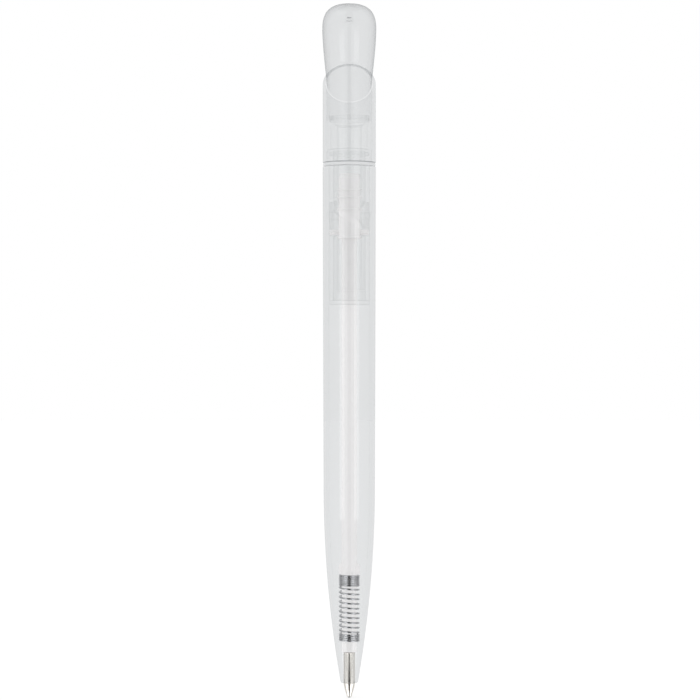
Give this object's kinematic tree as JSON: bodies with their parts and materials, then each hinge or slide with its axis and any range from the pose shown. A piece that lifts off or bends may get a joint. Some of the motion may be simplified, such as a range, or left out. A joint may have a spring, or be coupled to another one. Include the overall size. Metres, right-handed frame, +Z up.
{
  "type": "ballpoint pen",
  "caption": "Clear twist-action ballpoint pen: round barrel with a tapered nose, spring-loaded sliding refill, ring joint and a slanted domed crown.",
  "frame": {"origin": "lowest point of the writing ball, on the pen's axis", "axes": "+Z up the pen's axis from the point to the crown; -Y is the side that the picture shows, where the slanted seam is highest; +X is the picture's right"},
  "size_m": [0.0112, 0.0112, 0.1432],
  "materials": {
    "clear_body": "polished clear plastic",
    "clear_mechanism": "clear moulded plastic",
    "pale_ring": "smooth",
    "brake_rubber": "matt",
    "spring_steel": "bright drawn wire",
    "white_plastic": "smooth satin",
    "nickel_silver": "turned nickel silver",
    "hard_metal": "ground ball",
    "ink": "thick liquid",
    "grease": "soft gel"
  },
  "bodies": {
    "lower_part": {"lower_barrel": "clear_body", "centre_ring": "pale_ring", "guide_sleeve": "clear_mechanism", "sleeve_end_cap": "clear_mechanism", "brake_ring": "brake_rubber", "return_spring": "spring_steel"},
    "upper_part": {"crown": "clear_body", "upper_barrel": "clear_body", "spiral_drive": "clear_mechanism"},
    "refill": {"refill_carrier": "white_plastic", "refill_tube": "white_plastic", "nib": "nickel_silver", "ink_column": "ink", "grease_follower": "grease"},
    "ball": {"writing_ball": "hard_metal"}
  },
  "joints": [
    {"name": "twist", "type": "hinge", "parent": "lower_part", "child": "upper_part", "pos_m": [0, 0, 0.1103], "axis": [0, 0, 1], "range_deg": [0, 180]},
    {"name": "refill_slide", "type": "slide", "parent": "lower_part", "child": "refill", "axis": [0, 0, 1], "range_m": [0, 0.0055], "stiffness_N_per_m": 317, "springref_m": 0.0099, "deforming": ["return_spring"]},
    {"name": "ball_roll", "type": "hinge", "parent": "refill", "child": "ball", "pos_m": [0, 0, 0.0005], "axis": [1, 0, 0], "continuous": true}
  ],
  "couplings": [
    {"joint": "twist", "follows": "refill_slide", "rad_per_m": 571.19}
  ]
}
